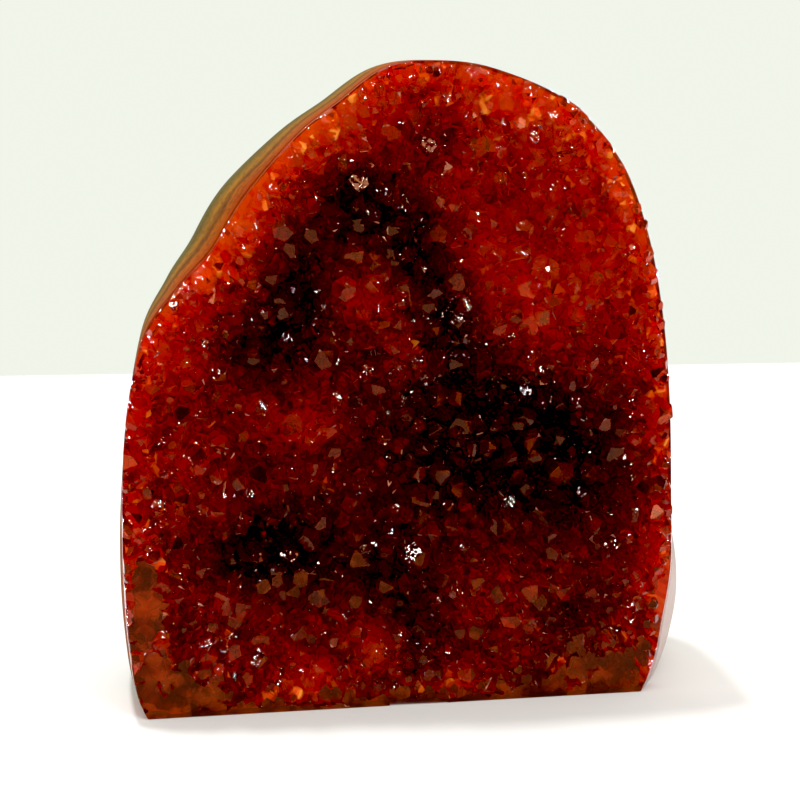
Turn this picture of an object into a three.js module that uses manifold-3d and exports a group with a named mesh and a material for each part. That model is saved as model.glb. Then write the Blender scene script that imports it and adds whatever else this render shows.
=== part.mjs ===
// A citrine geode with a cut base: a half of a small quartz geode that stands on a sawn foot. Its back and
// sides are a smooth, bulging wall of chalcedony. Its front is a shallow hollow lined with one crust of
// six-sided quartz points, and wherever a point reaches the plane that the stone was ground to, it is cut off
// flat. Units are millimetres. X runs along the face, Y runs back into the stone and Z is up. The origin lies
// under the middle of the stone, in the plane of the foot. The shapes are worked out from the middle of the
// face's foot, and each mesh is then moved to the origin.
import * as THREE from "three";
import { mergeVertices } from "three/addons/utils/BufferGeometryUtils.js";
import Module from "manifold-3d";

// The ground face's outline, x and z in the plane of the face, anticlockwise from under the foot.
const FACE_OUTLINE = [
  [0, -14], [24, -13], [43, -9], [51.5, 1.5], [54.4, 15], [57.2, 28], [58.3, 45], [58.1, 63],
  [56.6, 80], [53.5, 96], [47.8, 110.5], [37, 122.2], [21, 128.8], [9, 130], [-1, 128.4],
  [-10.5, 121.3], [-18.7, 114.4], [-28.3, 102.9], [-35.5, 91.8], [-43, 84.2], [-50.2, 75],
  [-54, 60], [-55.1, 40], [-54.2, 14], [-51, 0], [-40, -10], [-20, -13],
];
const FACE_REACH = { x: 60, z: 131 }; // half the face's width, and its height, with a little to spare
const FACE_CENTRE = { x: 0, z: 55 }; // what the face, the hollow and the back are rounded about
const FACE_FOOT = { x: -4.95, y: -32.45 }; // the middle of the face's foot, from the origin
const LEAN_DEG = 5; // how far the face leans back
const FOOT_SIDE = 400; // larger than the stone, for the saw cut

// The wall, behind the crust.
const MID_DEPTH = 27; // where the wall is widest
const BACK_DEPTH = 57; // the deepest point of the back
const BACK_SQUARENESS = 0.72; // 1 is an ellipse, and less is flatter with a tighter shoulder
const WALL_FRONT = 4.5; // depth of the wall's front edge, under the rim of the crust
const DISH_DEPTH = 16; // depth of the wall's hollow at its middle
const SIDE_BULGE = 2.6; // how far the wall swells past the face, all round
// Where it swells more or less: direction from the face's centre in degrees, width in degrees, millimetres.
const BULGE_LOBES = [
  { towards: 128, width: 22, swell: 3.9 },
  { towards: 172, width: 26, swell: -2.3 },
  { towards: -37, width: 17, swell: 10 },
];
// Broad lumps of the back, as waves: their height, lengths over two pi and where they start in radians.
const LUMP_HEIGHT = 1.5;
const LUMP_LENGTH = { x: 12, z: 15 };
const LUMP_START = { x: 0.8, z: 2.1 };
// Smaller lumps in slanting rows.
const ROW_HEIGHT = 0.7;
const ROW_LENGTH = { x: 6.5, z: 8.5 };

// The crust of crystals.
const SEAM = 0.3; // between the crust and the wall
const CRUST_FOOT = 0.1; // the crust ends this far above the foot
// A chip out of the crust's lower front edge: its high end in x, its length, height and depth.
const CHIP = { x: -2.6, length: 12, height: 1.4, depth: 3 };
const HOLLOW_POWER = 6; // how late the hollow rises to its rim
const RIM_SHARPNESS = 10; // of the hollow's corners at the foot
const THINNEST_BED = 0.9; // the least solid quartz in front of the wall
const BED_RIM_DEPTH = 1.2; // depth of the crystals' roots at the outline
const BED_MIDDLE_DEPTH = 6.5; // and at the middle
const BED_UNDER = 1.2; // how far the solid quartz lies under the roots, and less towards the rim
const BED_REACH = 1.1; // the solid quartz is cut to the outline from this share of the face
// Broad swells of the bed towards the face (negative) or away from it: x, z, radius and depth.
const BED_SWELLS = [
  { x: -5, z: 99, radius: 14, depth: 4.5 },
  { x: 30, z: 93, radius: 16, depth: 2.2 },
  { x: 31, z: 55, radius: 13, depth: 3 },
  { x: -24, z: 32, radius: 12, depth: 2.2 },
  { x: -12, z: 66, radius: 16, depth: 1.4 },
  { x: 34, z: 7, radius: 17, depth: -3.2 },
  { x: -40, z: 4, radius: 12, depth: -3 },
];
const SWELL_POWER = 0.3; // how late the swells die away towards the rim

// Quartz points.
const POINT_PITCH = 7.3; // between the roots of neighbouring points
const POINT_JITTER = 0.34; // of the pitch
const POINT_HEIGHT = [3.9, 9]; // above their roots
const FEW_TALL = 1.5; // the power that makes the taller points fewer
const POINT_TILT = 0.34; // how far a point leans from the bed's own direction
const POINT_ROOT = 4; // how deep a point starts under its root
const FACE_SLOPE = THREE.MathUtils.degToRad(51.8); // between quartz's end faces and its base
const SMALL_FACE_CHANCE = 0.5; // of each of the three smaller end faces
const SMALL_FACE_SET_BACK = [0.1, 1.3]; // how far they lie behind the three large ones
const POINTS_END_AT = 0.985; // no point is rooted further out than this share of the face
const RANDOM_SEED = 20417;

const RING_STEPS = 48; // segments round the outline
const DISH_RINGS = [0.28, 0.52, 0.72, 0.87, 0.96];
const BED_RINGS = [0.4, 0.75];
const BACK_RINGS = 8;
const SIDE_RINGS = 3;

const QUARTZ_RED = 0x7a1206;
const QUARTZ_ROUGHNESS = 0.08;
const CHALCEDONY = 0x8a6a45;
const CHALCEDONY_ROUGHNESS = 0.25;

const wasm = await Module();
wasm.setup();

// Evenly mixed numbers from 0 to 1, the same on every run.
function randomSource(seed) {
  let state = seed >>> 0;
  return () => {
    state = (state + 0x6d2b79f5) >>> 0;
    let mixed = Math.imul(state ^ (state >>> 15), state | 1);
    mixed = (mixed + Math.imul(mixed ^ (mixed >>> 7), mixed | 61)) ^ mixed;
    return ((mixed ^ (mixed >>> 14)) >>> 0) / 4294967296;
  };
}

const between = ([low, high], share) => low + (high - low) * share;

// The outline as a smooth closed curve, with each point's direction out of the stone.
function outlineSamples(count) {
  const corners = FACE_OUTLINE.map(([x, z]) => new THREE.Vector3(x, 0, z));
  const curve = new THREE.CatmullRomCurve3(corners, true, "catmullrom", 0.5);
  return Array.from({ length: count }, (_, i) => {
    const at = curve.getPoint(i / count);
    const along = curve.getTangent(i / count);
    return { x: at.x, z: at.z, outX: along.z, outZ: -along.x };
  });
}

const OUTLINE = outlineSamples(RING_STEPS);
const FINE_OUTLINE = outlineSamples(8 * RING_STEPS);

// How far a point of the face lies from the centre, as a share of the way to the outline.
function shareOfFace(x, z) {
  const dx = x - FACE_CENTRE.x;
  const dz = z - FACE_CENTRE.z;
  for (let i = 0; i < FINE_OUTLINE.length; i++) {
    const a = FINE_OUTLINE[i];
    const b = FINE_OUTLINE[(i + 1) % FINE_OUTLINE.length];
    const ax = a.x - FACE_CENTRE.x;
    const az = a.z - FACE_CENTRE.z;
    const ex = b.x - a.x;
    const ez = b.z - a.z;
    const cross = dx * ez - dz * ex;
    if (cross <= 0) continue;
    const reach = (ax * ez - az * ex) / cross;
    const along = (ax * dz - az * dx) / cross;
    if (reach > 0 && along >= 0 && along < 1) return 1 / reach;
  }
  return 0;
}

// How far a point lies from the centre, as a share of the way to the rim of the hollow, which runs along the
// outline and, rounding the corners, along the foot.
function shareOfHollow(x, z, share) {
  const down = Math.max(0, (FACE_CENTRE.z - z) / FACE_CENTRE.z);
  return (share ** RIM_SHARPNESS + down ** RIM_SHARPNESS) ** (1 / RIM_SHARPNESS);
}

const hollow = (share) => 1 - Math.min(share, 1) ** HOLLOW_POWER;

const dishDepth = (share) => WALL_FRONT + (DISH_DEPTH - WALL_FRONT) * hollow(share);

// Depth of the surface that the crystals grow from.
function bedDepth(x, z, share = shareOfFace(x, z)) {
  const open = hollow(shareOfHollow(x, z, share));
  let depth = BED_RIM_DEPTH + (BED_MIDDLE_DEPTH - BED_RIM_DEPTH) * open;
  for (const swell of BED_SWELLS) {
    const away = ((x - swell.x) ** 2 + (z - swell.z) ** 2) / swell.radius ** 2;
    depth += swell.depth * Math.exp(-away) * open ** SWELL_POWER;
  }
  return Math.min(depth, dishDepth(share) - SEAM - THINNEST_BED);
}

// How far the wall swells past the outline at its widest, in a direction from the face's centre.
function bulgeTowards(x, z) {
  const here = THREE.MathUtils.radToDeg(Math.atan2(z - FACE_CENTRE.z, x - FACE_CENTRE.x));
  return BULGE_LOBES.reduce((sum, lobe) => {
    const off = ((((here - lobe.towards) % 360) + 540) % 360) - 180;
    return sum + lobe.swell * Math.exp(-((off / lobe.width) ** 2));
  }, SIDE_BULGE);
}

// One closed line round the stone: the outline moved out by its bulge, drawn in towards the centre.
function ring({ depth, swell = 0, scale = 1 }) {
  return OUTLINE.map(({ x, z, outX, outZ }) => {
    const out = swell * bulgeTowards(x, z);
    return new THREE.Vector3(
      FACE_CENTRE.x + (x + outX * out - FACE_CENTRE.x) * scale,
      depth,
      FACE_CENTRE.z + (z + outZ * out - FACE_CENTRE.z) * scale,
    );
  });
}

// How far the back stands out at a point.
function lump(x, z) {
  const broad = Math.sin(x / LUMP_LENGTH.x + LUMP_START.x) * Math.sin(z / LUMP_LENGTH.z + LUMP_START.z);
  return LUMP_HEIGHT * broad + ROW_HEIGHT * Math.sin(x / ROW_LENGTH.x + z / ROW_LENGTH.z);
}

const sideRing = (depth) => ring({ depth, swell: Math.sin(((Math.PI / 2) * depth) / MID_DEPTH) });

// A line round the back, at a turn from 0, where the wall is widest, to a right angle, at its deepest point.
function backRing(turn) {
  const round = Math.sin(turn) ** BACK_SQUARENESS;
  const depth = MID_DEPTH + (BACK_DEPTH - MID_DEPTH) * round;
  const line = ring({ depth, swell: 1, scale: Math.cos(turn) ** BACK_SQUARENESS });
  return line.map((p) => p.setY(depth + lump(p.x, p.z) * round));
}

const middle = (depth) => new THREE.Vector3(FACE_CENTRE.x, depth, FACE_CENTRE.z);

// A closed skin over rings that run from the first point to the last, one behind the other.
function skinOver(first, rings, last) {
  const points = [first, ...rings.flat(), last];
  const faces = [];
  const at = (r, i) => 1 + r * RING_STEPS + (i % RING_STEPS);
  for (let i = 0; i < RING_STEPS; i++) {
    faces.push([0, at(0, i), at(0, i + 1)]);
    for (let r = 0; r + 1 < rings.length; r++) {
      faces.push([at(r, i), at(r + 1, i), at(r + 1, i + 1)]);
      faces.push([at(r, i), at(r + 1, i + 1), at(r, i + 1)]);
    }
    faces.push([at(rings.length - 1, i), points.length - 1, at(rings.length - 1, i + 1)]);
  }
  return solidFrom(points, faces);
}

const manifold = (vertProperties, triVerts) =>
  new wasm.Manifold(new wasm.Mesh({ numProp: 3, vertProperties, triVerts }));

const solidFrom = (points, faces) =>
  manifold(new Float32Array(points.flatMap((p) => [p.x, p.y, p.z])), new Uint32Array(faces.flat()));

function solidOfGeometry(geometry) {
  const bare = geometry.clone();
  bare.deleteAttribute("normal");
  bare.deleteAttribute("uv");
  const merged = mergeVertices(bare);
  return manifold(merged.attributes.position.array, new Uint32Array(merged.index.array));
}

// All space above a height, for sawing the foot.
function above(height) {
  const block = new THREE.BoxGeometry(FOOT_SIDE, FOOT_SIDE, FOOT_SIDE);
  return solidOfGeometry(block.translate(0, 0, height + FOOT_SIDE / 2));
}

const dishRings = (setForward) =>
  DISH_RINGS.map((scale) => {
    const swell = Math.sin(((Math.PI / 2) * WALL_FRONT) / MID_DEPTH);
    return ring({ depth: dishDepth(scale) - setForward, swell, scale });
  });

function wallSolid() {
  const rings = dishRings(0);
  for (let i = 0; i <= SIDE_RINGS; i++) {
    rings.push(sideRing(WALL_FRONT + ((MID_DEPTH - WALL_FRONT) * i) / SIDE_RINGS));
  }
  for (let i = 1; i < BACK_RINGS; i++) rings.push(backRing(((Math.PI / 2) * i) / BACK_RINGS));
  const last = middle(BACK_DEPTH + lump(FACE_CENTRE.x, FACE_CENTRE.z));
  return skinOver(middle(dishDepth(0)), rings, last).intersect(above(0));
}

// The space in front of the wall, out to the ground face and to the polished sides.
function spaceOfCrust() {
  const rings = [sideRing(0), sideRing(WALL_FRONT - SEAM), ...dishRings(SEAM).reverse()];
  return skinOver(middle(0), rings, middle(dishDepth(0) - SEAM)).intersect(above(CRUST_FOOT));
}

// The solid quartz that joins the points' roots, a little under the bed so that it shows in few places.
function bedSolid() {
  const depth = (share, { x, z } = FACE_CENTRE) =>
    bedDepth(x, z, share) + BED_UNDER * hollow(shareOfHollow(x, z, share));
  const rings = [...BED_RINGS, 1].map((scale) =>
    ring({ depth: 0, scale }).map((p) => p.setY(depth(scale, p))),
  );
  for (const depthOutside of [BED_RIM_DEPTH, BACK_DEPTH]) {
    rings.push(ring({ depth: depthOutside, scale: BED_REACH }));
  }
  return skinOver(middle(depth(0)), rings, middle(BACK_DEPTH));
}

// The solid that a set of planes cuts out, each plane a normal and its distance from the origin.
function cutByPlanes(planes) {
  const corners = [];
  const holds = (p) => planes.every(({ normal, distance }) => normal.dot(p) < distance + 1e-7);
  for (let i = 0; i < planes.length; i++) {
    for (let j = i + 1; j < planes.length; j++) {
      const line = new THREE.Vector3().crossVectors(planes[i].normal, planes[j].normal);
      for (let k = j + 1; k < planes.length; k++) {
        const spread = line.dot(planes[k].normal);
        if (Math.abs(spread) < 1e-6) continue;
        const p = new THREE.Vector3()
          .crossVectors(planes[j].normal, planes[k].normal)
          .multiplyScalar(planes[i].distance)
          .addScaledVector(
            new THREE.Vector3().crossVectors(planes[k].normal, planes[i].normal),
            planes[j].distance,
          )
          .addScaledVector(line, planes[k].distance)
          .divideScalar(spread);
        if (holds(p) && !corners.some((q) => q.distanceToSquared(p) < 1e-10)) corners.push(p);
      }
    }
  }
  const faces = planes.flatMap(({ normal, distance }) => {
    const on = corners.flatMap((p, n) => (Math.abs(normal.dot(p) - distance) < 1e-5 ? [n] : []));
    if (on.length < 3) return [];
    const centre = new THREE.Vector3();
    on.forEach((n) => centre.add(corners[n]));
    centre.divideScalar(on.length);
    const across = corners[on[0]].clone().sub(centre).normalize();
    const up = new THREE.Vector3().crossVectors(normal, across);
    const turnOf = (n) => {
      const from = corners[n].clone().sub(centre);
      return Math.atan2(from.dot(up), from.dot(across));
    };
    on.sort((a, b) => turnOf(a) - turnOf(b));
    return on.slice(1, -1).map((n, i) => [on[0], n, on[i + 2]]);
  });
  return { corners, faces };
}

// How far a small face lies back, or endlessly far where the point doesn't have it.
const smallFaceSetBack = (draw) =>
  draw < SMALL_FACE_CHANCE ? between(SMALL_FACE_SET_BACK, draw / SMALL_FACE_CHANCE) : Infinity;

// A quartz point: three large end faces, which meet at the tip, and the smaller ones between them.
// All of them run down to its root, because the sides of its prism lie under its neighbours.
function quartzPoint({ root, axis, height, spin, setBacks }) {
  const side = new THREE.Vector3(0, 0, 1).cross(axis).normalize();
  const other = new THREE.Vector3().crossVectors(axis, side);
  const planes = [{ normal: axis.clone().negate(), distance: POINT_ROOT - axis.dot(root) }];
  setBacks.forEach((setBack, i) => {
    const turn = spin + (i * Math.PI) / 3;
    const normal = side.clone().multiplyScalar(Math.cos(turn)).addScaledVector(other, Math.sin(turn));
    normal.multiplyScalar(Math.sin(FACE_SLOPE)).addScaledVector(axis, Math.cos(FACE_SLOPE));
    const distance = height * Math.cos(FACE_SLOPE) + setBack * Math.sin(FACE_SLOPE);
    planes.push({ normal, distance: distance + normal.dot(root) });
  });
  const { corners, faces } = cutByPlanes(planes.filter(({ distance }) => Number.isFinite(distance)));
  return solidFrom(corners, faces);
}

// The direction that the bed faces, towards the front.
function bedDirection(x, z) {
  const step = 1;
  const slopeX = (bedDepth(x + step, z) - bedDepth(x - step, z)) / (2 * step);
  const slopeZ = (bedDepth(x, z + step) - bedDepth(x, z - step)) / (2 * step);
  return new THREE.Vector3(slopeX, -1, slopeZ).normalize();
}

function quartzPoints() {
  const random = randomSource(RANDOM_SEED);
  const rowStep = (POINT_PITCH * Math.sqrt(3)) / 2;
  const columns = Math.ceil(FACE_REACH.x / POINT_PITCH);
  const points = [];
  for (let row = -1; row * rowStep < FACE_REACH.z; row++) {
    for (let column = -columns; column <= columns; column++) {
      const draws = Array.from({ length: 9 }, random);
      const x = (column + (row & 1) / 2 + POINT_JITTER * (2 * draws[0] - 1)) * POINT_PITCH;
      const z = row * rowStep + POINT_JITTER * (2 * draws[1] - 1) * POINT_PITCH;
      const share = shareOfFace(x, z);
      if (share > POINTS_END_AT || z < CRUST_FOOT - POINT_PITCH / 2) continue;
      const axis = bedDirection(x, z);
      axis.x += POINT_TILT * (2 * draws[3] - 1);
      axis.z += POINT_TILT * (2 * draws[4] - 1);
      points.push(
        quartzPoint({
          root: new THREE.Vector3(x, bedDepth(x, z, share), z),
          axis: axis.normalize(),
          height: between(POINT_HEIGHT, draws[2] ** FEW_TALL),
          spin: (draws[5] * 2 * Math.PI) / 3,
          setBacks: draws.slice(6).flatMap((draw) => [0, smallFaceSetBack(draw)]),
        }),
      );
    }
  }
  return points;
}

// A wedge as high as the chip at one end and run out to nothing at the other.
function chipSolid() {
  const slope = Math.atan2(CHIP.height, CHIP.length);
  const block = new THREE.BoxGeometry(FOOT_SIDE, 2 * CHIP.depth, FOOT_SIDE);
  block.translate(FOOT_SIDE / 2, 0, -FOOT_SIDE / 2);
  return solidOfGeometry(block.rotateY(slope).translate(CHIP.x, 0, CHIP.height));
}

// The crust, with the pockets that points close off between them filled, as one body.
function crustSolid() {
  const grown = wasm.Manifold.union([bedSolid(), ...quartzPoints()]).intersect(spaceOfCrust());
  return grown.subtract(chipSolid()).decompose().reduce((a, b) => (b.volume() > a.volume() ? b : a));
}

// The solid as a mesh, leaned back with the face and moved to the origin.
function namedMesh(name, solid, material) {
  const { numProp, vertProperties, triVerts } = solid.getMesh();
  const lean = Math.tan(THREE.MathUtils.degToRad(LEAN_DEG));
  const count = vertProperties.length / numProp;
  const position = new Float32Array(3 * count);
  for (let i = 0; i < count; i++) {
    const [x, y, z] = vertProperties.subarray(numProp * i, numProp * i + 3);
    position.set([FACE_FOOT.x + x, FACE_FOOT.y + y + z * lean, z], 3 * i);
  }
  const geometry = new THREE.BufferGeometry();
  geometry.setAttribute("position", new THREE.BufferAttribute(position, 3));
  geometry.setIndex(new THREE.BufferAttribute(triVerts, 1));
  geometry.computeVertexNormals();
  const mesh = new THREE.Mesh(geometry, material);
  mesh.name = name;
  return mesh;
}

const stone = (color, roughness) =>
  new THREE.MeshStandardMaterial({ color, roughness, metalness: 0, flatShading: true });

const geode = new THREE.Group();
geode.add(
  namedMesh("chalcedony_wall", wallSolid(), stone(CHALCEDONY, CHALCEDONY_ROUGHNESS)),
  namedMesh("crystal_crust", crustSolid(), stone(QUARTZ_RED, QUARTZ_ROUGHNESS)),
);

export default geode;
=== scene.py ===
"""A citrine geode with a cut base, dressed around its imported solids.

The three pieces are worked out in the stone's own frame, in millimetres: x runs along the ground face, depth
runs back from it and z is up. in_row_frame() leans them back and puts them in the row frame, in metres.
"""

import math
from itertools import combinations

import bmesh
import bpy
import numpy as np
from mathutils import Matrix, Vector, noise


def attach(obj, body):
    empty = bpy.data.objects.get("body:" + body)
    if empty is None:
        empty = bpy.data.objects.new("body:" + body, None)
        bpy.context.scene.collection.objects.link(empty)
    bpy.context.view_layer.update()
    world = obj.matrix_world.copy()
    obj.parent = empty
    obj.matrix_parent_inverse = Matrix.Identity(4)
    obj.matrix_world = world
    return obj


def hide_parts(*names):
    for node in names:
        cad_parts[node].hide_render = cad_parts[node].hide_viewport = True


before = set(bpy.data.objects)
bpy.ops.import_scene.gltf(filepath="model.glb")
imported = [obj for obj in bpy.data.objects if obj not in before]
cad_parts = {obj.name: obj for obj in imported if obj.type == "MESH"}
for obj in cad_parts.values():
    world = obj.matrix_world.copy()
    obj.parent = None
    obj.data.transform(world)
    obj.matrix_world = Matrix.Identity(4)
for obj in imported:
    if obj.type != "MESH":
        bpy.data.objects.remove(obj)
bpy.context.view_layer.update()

MM = 0.001
FAR = 0.4  # metres, well past the stone on every side

# The stone, with the same sizes as the solids.
FACE_OUTLINE = [
    (0, -14), (24, -13), (43, -9), (51.5, 1.5), (54.4, 15), (57.2, 28), (58.3, 45), (58.1, 63),
    (56.6, 80), (53.5, 96), (47.8, 110.5), (37, 122.2), (21, 128.8), (9, 130), (-1, 128.4),
    (-10.5, 121.3), (-18.7, 114.4), (-28.3, 102.9), (-35.5, 91.8), (-43, 84.2), (-50.2, 75),
    (-54, 60), (-55.1, 40), (-54.2, 14), (-51, 0), (-40, -10), (-20, -13),
]
FACE_CENTRE = np.array([0.0, 55.0])
FACE_REACH = (60.0, 131.0)  # half the face's width, and its height
FACE_FOOT = np.array([-4.95, -32.45])  # the middle of the face's foot in the row frame
LEAN = math.tan(math.radians(5))  # how far the ground face leans back for each unit of height
MID_DEPTH = 27.0
BACK_DEPTH = 57.0
BACK_SQUARENESS = 0.72
WALL_FRONT = 4.5
DISH_DEPTH = 16.0
SIDE_BULGE = 2.6
BULGE_LOBES = [(128, 22, 3.9), (172, 26, -2.3), (-37, 17, 10)]  # direction in degrees, width, swell
LUMP_HEIGHT, LUMP_LENGTH, LUMP_START = 1.5, (12, 15), (0.8, 2.1)
ROW_HEIGHT, ROW_LENGTH = 0.7, (6.5, 8.5)
PIT_DEPTH, PIT_SIZES = 1.5, (9.0, 3.0)  # of the rough back only
PIT_SHAPE, MOST_SUNK = (0.85, 2.2, 0.8), 1.2
PITS_GROWTH = 3  # the pits are in full a third of the way from the sides to the back
HOLLOW_POWER = 6
RIM_SHARPNESS = 10
BED_RIM_DEPTH = 1.2
BED_MIDDLE_DEPTH = 6.5
THINNEST_BED = 1.2
SWELL_POWER = 0.3
BED_SWELLS = [  # x, z, radius, depth
    (-5, 99, 14, 4.5), (30, 93, 16, 2.2), (31, 55, 13, 3), (-24, 32, 12, 2.2), (-12, 66, 16, 1.4),
    (34, 7, 17, -3.2), (-40, 4, 12, -3),
]
CHIP_X, CHIP_LENGTH, CHIP_HEIGHT, CHIP_DEPTH = -2.6, 12.0, 1.4, 3.0
CHIP_TAPER = (0.6, 0.7)  # of its height and depth, at its other end
CRUST_FOOT = 0.1

RING_STEPS = 360  # round the outline


def closed_curve(corners, count):
    """Points of a smooth closed curve through the corners, and its directions to the outside."""
    p = np.array(corners, float)
    t = np.arange(count) * len(p) / count
    i, u = t.astype(int), (t % 1)[:, None]
    p0, p1, p2, p3 = (p[(i + k) % len(p)] for k in (-1, 0, 1, 2))
    m1, m2 = (p2 - p0) / 2, (p3 - p1) / 2
    a, b = 2 * p1 - 2 * p2 + m1 + m2, -3 * p1 + 3 * p2 - 2 * m1 - m2
    at = ((a * u + b) * u + m1) * u + p1
    along = (3 * a * u + 2 * b) * u + m1
    along /= np.linalg.norm(along, axis=1, keepdims=True)
    return at, np.stack([along[:, 1], -along[:, 0]], 1)


OUTLINE, OUTWARD = closed_curve(FACE_OUTLINE, RING_STEPS)
ARM = OUTLINE - FACE_CENTRE
TURN = np.arctan2(ARM[:, 1], ARM[:, 0])
BY_TURN = np.argsort(TURN)
RIM_TURN, RIM_REACH = TURN[BY_TURN], np.linalg.norm(ARM, axis=1)[BY_TURN]


def share_of_face(xz):
    """How far out a point of the face is: 0 in the middle and 1 on the outline."""
    arm = xz - FACE_CENTRE
    reach = np.interp(np.arctan2(arm[..., 1], arm[..., 0]), RIM_TURN, RIM_REACH, period=2 * math.pi)
    return np.linalg.norm(arm, axis=-1) / reach


def hollow(share):
    """1 in the middle of the hollow, falling to 0 at the outline."""
    return 1 - np.minimum(share, 1) ** HOLLOW_POWER


def openness(xz, share):
    """1 in the middle of the hollow, falling to 0 at its rim along the outline and the foot."""
    down = np.maximum(0, (FACE_CENTRE[1] - xz[..., 1]) / FACE_CENTRE[1])
    return hollow((share**RIM_SHARPNESS + down**RIM_SHARPNESS) ** (1 / RIM_SHARPNESS))


def dish_depth(share):
    """Depth of the wall's inside, behind the crystals."""
    return WALL_FRONT + (DISH_DEPTH - WALL_FRONT) * hollow(share)


def bed_depth(xz):
    """Depth of the surface that the crystals grow from."""
    share = share_of_face(xz)
    opened = openness(xz, share)
    depth = BED_RIM_DEPTH + (BED_MIDDLE_DEPTH - BED_RIM_DEPTH) * opened
    for x, z, radius, swell in BED_SWELLS:
        away = ((xz[..., 0] - x) ** 2 + (xz[..., 1] - z) ** 2) / radius**2
        depth = depth + swell * np.exp(-away) * opened**SWELL_POWER
    return np.minimum(depth, dish_depth(share) - THINNEST_BED)


def bulge():
    """How far the wall swells past the outline at its widest, at each step round it."""
    total = np.full(RING_STEPS, SIDE_BULGE)
    for towards, width, swell in BULGE_LOBES:
        off = (np.degrees(TURN) - towards + 540) % 360 - 180
        total += swell * np.exp(-((off / width) ** 2))
    return total


BULGE = bulge()


def ring(depth, swell=0.0, scale=1.0):
    """One closed line round the stone, as rows of x, depth and z."""
    line = FACE_CENTRE + (OUTLINE + OUTWARD * (swell * BULGE)[:, None] - FACE_CENTRE) * scale
    return np.column_stack([line[:, 0], np.broadcast_to(depth, RING_STEPS), line[:, 1]])


def side_ring(depth):
    """A ring on the polished sides, which swell towards the middle depth."""
    return ring(depth, math.sin(math.pi / 2 * depth / MID_DEPTH))


def lump(x, z):
    """How far the back stands out at a point."""
    broad = np.sin(x / LUMP_LENGTH[0] + LUMP_START[0]) * np.sin(z / LUMP_LENGTH[1] + LUMP_START[1])
    return LUMP_HEIGHT * broad + ROW_HEIGHT * np.sin(x / ROW_LENGTH[0] + z / ROW_LENGTH[1])


def pits(points):
    """How far the natural back is sunk at each point: 0 on its knobs, about 1 between them."""
    broad, fine = (np.array([noise.noise(Vector(p) / size) for p in points]) for size in PIT_SIZES)
    level, broad_part, fine_part = PIT_SHAPE
    return np.clip(level - broad_part * np.abs(broad) + fine_part * fine, 0, MOST_SUNK)


def pitted(line, share):
    """The points of a line on the natural back, sunk where the pits are."""
    inward = np.array([FACE_CENTRE[0], MID_DEPTH, FACE_CENTRE[1]]) - line
    inward /= np.linalg.norm(inward, axis=1, keepdims=True)
    return line + inward * (PIT_DEPTH * share * pits(line))[:, None]


def back_ring(turn):
    """A ring on the rough back, from the sides at a turn of 0 to the middle of the back at a quarter turn."""
    rounding = math.sin(turn) ** BACK_SQUARENESS
    line = ring(MID_DEPTH + (BACK_DEPTH - MID_DEPTH) * rounding, 1, math.cos(turn) ** BACK_SQUARENESS)
    line[:, 1] += lump(line[:, 0], line[:, 2]) * rounding
    return pitted(line, min(1, rounding * PITS_GROWTH))


def in_row_frame(points):
    """Rows of x, depth and z in millimetres as places in the row frame, in metres."""
    x, depth, z = points.T
    return np.column_stack([FACE_FOOT[0] + x, FACE_FOOT[1] + depth + z * LEAN, z]) * MM


def new_object(name, points, faces):
    mesh = bpy.data.meshes.new(name)
    mesh.from_pydata(points.tolist(), [], faces)
    mesh.update()
    made = bpy.data.objects.new(name, mesh)
    bpy.context.scene.collection.objects.link(made)
    return made


def skin_over(name, first, rings, last):
    """A closed skin over rings from the first point to the last, one behind the other."""
    points = np.vstack([first] + rings + [last])
    count = len(rings[0])
    faces = []
    for i in range(count):
        j = (i + 1) % count
        faces.append((0, 1 + i, 1 + j))
        for r in range(len(rings) - 1):
            a, b = 1 + r * count, 1 + (r + 1) * count
            faces.append((a + i, b + i, b + j, a + j))
        a = 1 + (len(rings) - 1) * count
        faces.append((a + i, len(points) - 1, a + j))
    return new_object(name, in_row_frame(points), faces)


def middle(depth):
    return np.array([[FACE_CENTRE[0], depth, FACE_CENTRE[1]]])


def with_boolean(target, operation, others):
    """target joined with, cut by or cut to the others, which are used up."""
    tools = bpy.data.collections.new("tools")
    bpy.context.scene.collection.children.link(tools)
    for other in others:
        bpy.context.scene.collection.objects.unlink(other)
        tools.objects.link(other)
    change = target.modifiers.new("cut", "BOOLEAN")
    change.operation = operation
    change.operand_type = "COLLECTION"
    change.collection = tools
    change.solver = "MANIFOLD"
    seen = bpy.context.evaluated_depsgraph_get()
    result = bpy.data.meshes.new_from_object(target.evaluated_get(seen))
    target.modifiers.clear()
    target.data = result
    for other in others:
        bpy.data.objects.remove(other)
    bpy.data.collections.remove(tools)
    return target


def block(name, low, high):
    x, y, z = (np.array(v, float) for v in zip(low, high))
    corners = np.array([(i, j, k) for i in x for j in y for k in z])
    faces = [(0, 1, 3, 2), (4, 6, 7, 5), (0, 4, 5, 1), (2, 3, 7, 6), (0, 2, 6, 4), (1, 5, 7, 3)]
    return new_object(name, corners, faces)


# The wall.
DISH_RINGS = np.linspace(0.1, 0.98, 30)
SIDE_RINGS = 24
BACK_RINGS = 60


def make_wall():
    front_swell = math.sin(math.pi / 2 * WALL_FRONT / MID_DEPTH)
    rings = [ring(dish_depth(scale), front_swell, scale) for scale in DISH_RINGS]
    rings += [side_ring(d) for d in np.linspace(WALL_FRONT, MID_DEPTH, SIDE_RINGS)]
    turns = np.linspace(0, math.pi / 2, BACK_RINGS + 1)[1:-1]
    rings += [back_ring(turn) for turn in turns]
    last = middle(BACK_DEPTH + lump(*FACE_CENTRE))
    wall = skin_over("wall", middle(dish_depth(0)), rings, last)
    under = block("under", (-FAR, -FAR, -FAR), (FAR, FAR, 0))
    return with_boolean(wall, "DIFFERENCE", [under])


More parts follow.
